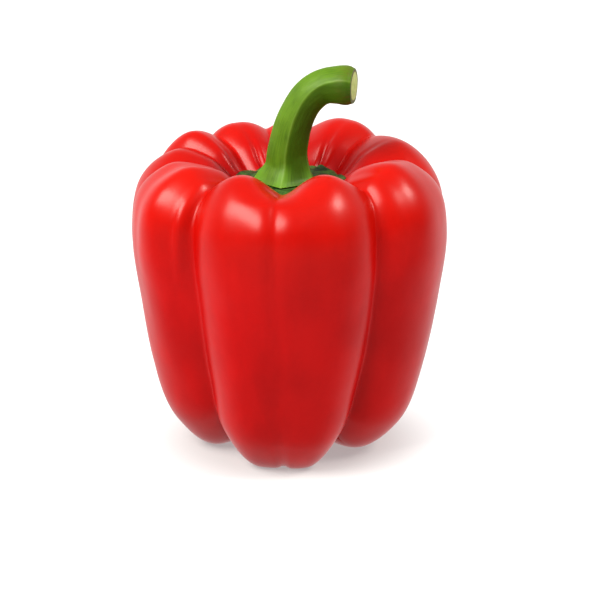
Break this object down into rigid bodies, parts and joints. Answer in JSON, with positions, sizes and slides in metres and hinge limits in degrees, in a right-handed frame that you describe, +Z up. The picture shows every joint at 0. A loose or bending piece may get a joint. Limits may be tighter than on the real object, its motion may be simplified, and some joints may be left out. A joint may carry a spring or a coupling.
{
  "type": "bell pepper",
  "caption": "Whole red bell pepper standing on its lobe tips, with a green calyx in the hollow at the top and a bent, cut stem.",
  "frame": {"origin": "on the surface the pepper stands on, under the middle of the fruit", "axes": "+Z up along the fruit, -Y towards the front lobe, +X the way the stem bends"},
  "size_m": [0.089, 0.09, 0.1118],
  "materials": {
    "red_skin": "waxy, glossy red skin, smooth, with faint darker flecks",
    "calyx_green": "dark green, matt, leathery plant tissue",
    "stem_green": "fresh green stem, satin, paler at its foot, with a dry pale cut end"
  },
  "bodies": {
    "root": {"fruit": "red_skin", "calyx": "calyx_green", "stem": "stem_green"}
  },
  "joints": []
}
